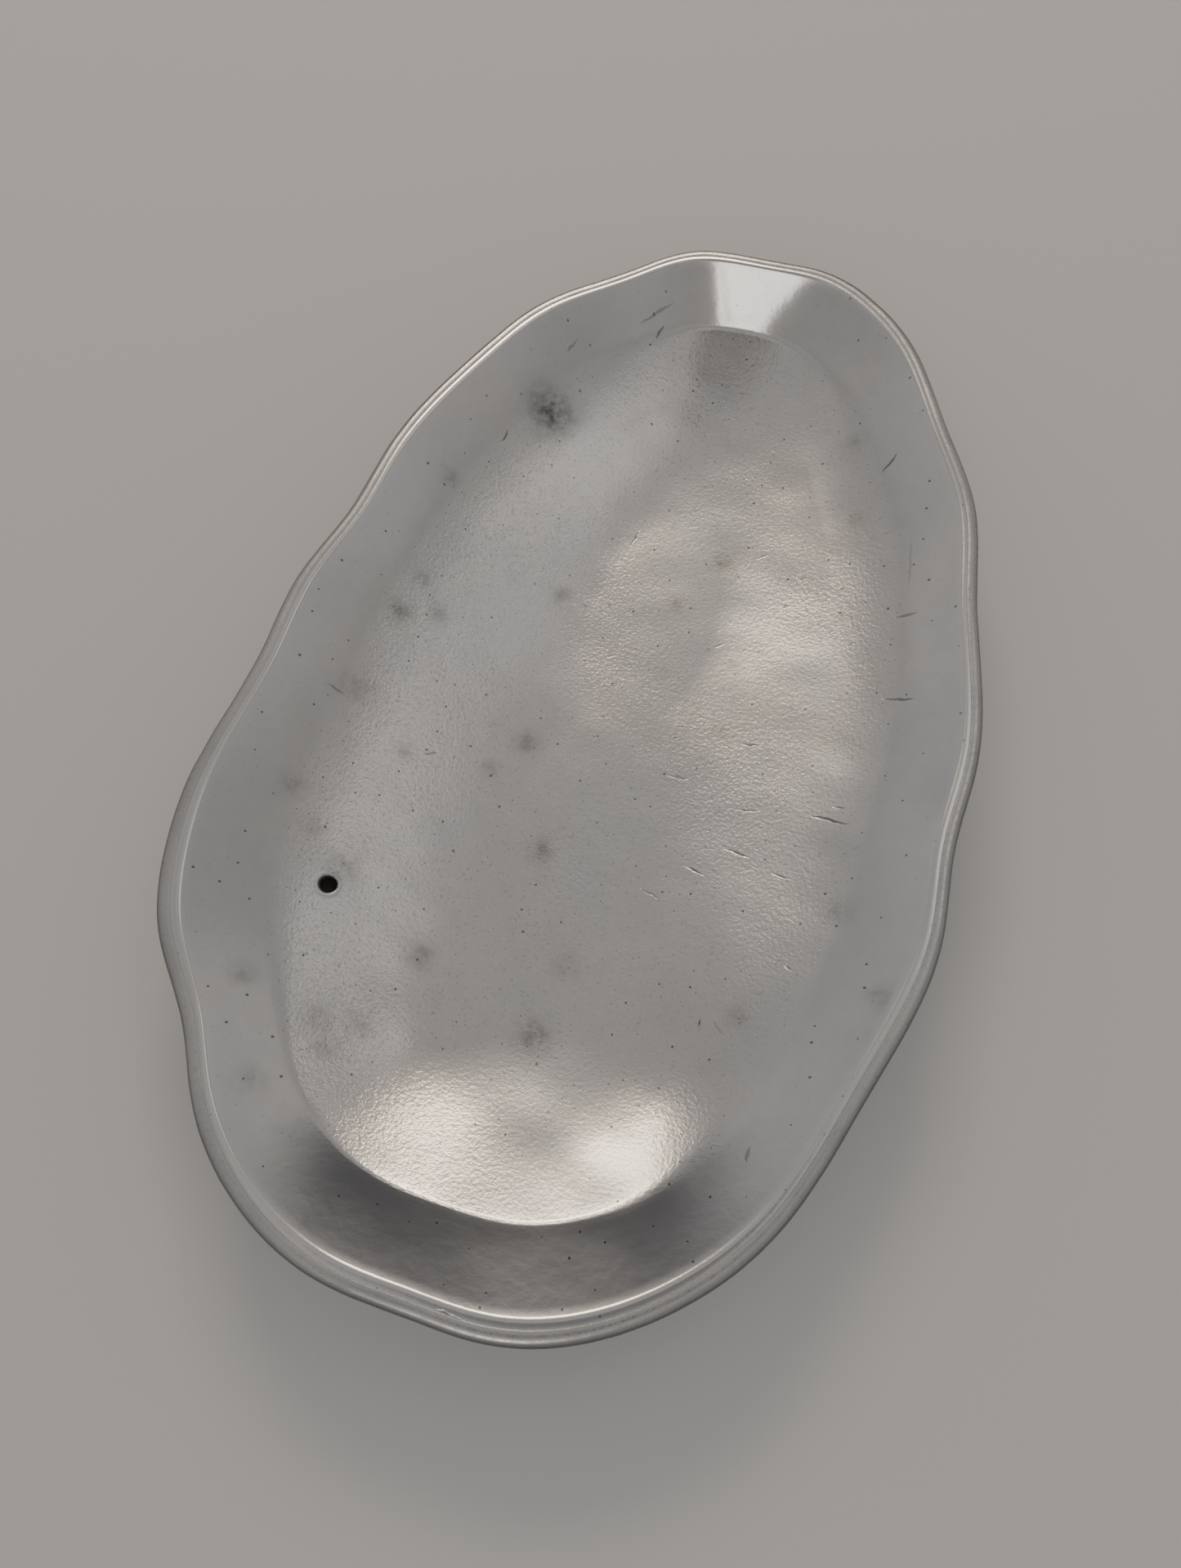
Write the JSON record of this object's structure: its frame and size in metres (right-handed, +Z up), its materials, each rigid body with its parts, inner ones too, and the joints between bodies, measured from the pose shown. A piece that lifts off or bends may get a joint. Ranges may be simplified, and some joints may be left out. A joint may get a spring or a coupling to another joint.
{
  "type": "free-form sauce boat dish",
  "caption": "Shallow free-form oval metal sauce boat with a dished floor, sloping wall, wavy outline and a half-round wire soldered round its edge.",
  "frame": {"origin": "middle of the outline, on the flat face that the boat rests on", "axes": "+Y along the boat's length towards its narrower pouring end, +Z up out of the bowl"},
  "size_m": [0.121, 0.1996, 0.02],
  "materials": {
    "bowl_metal": "satin, grey like aged pewter, with a fine cast grain and dark tarnish spots",
    "wire_metal": "satin, brighter where it is rubbed"
  },
  "bodies": {
    "root": {"bowl": "bowl_metal", "rim_wire": "wire_metal"}
  },
  "joints": []
}
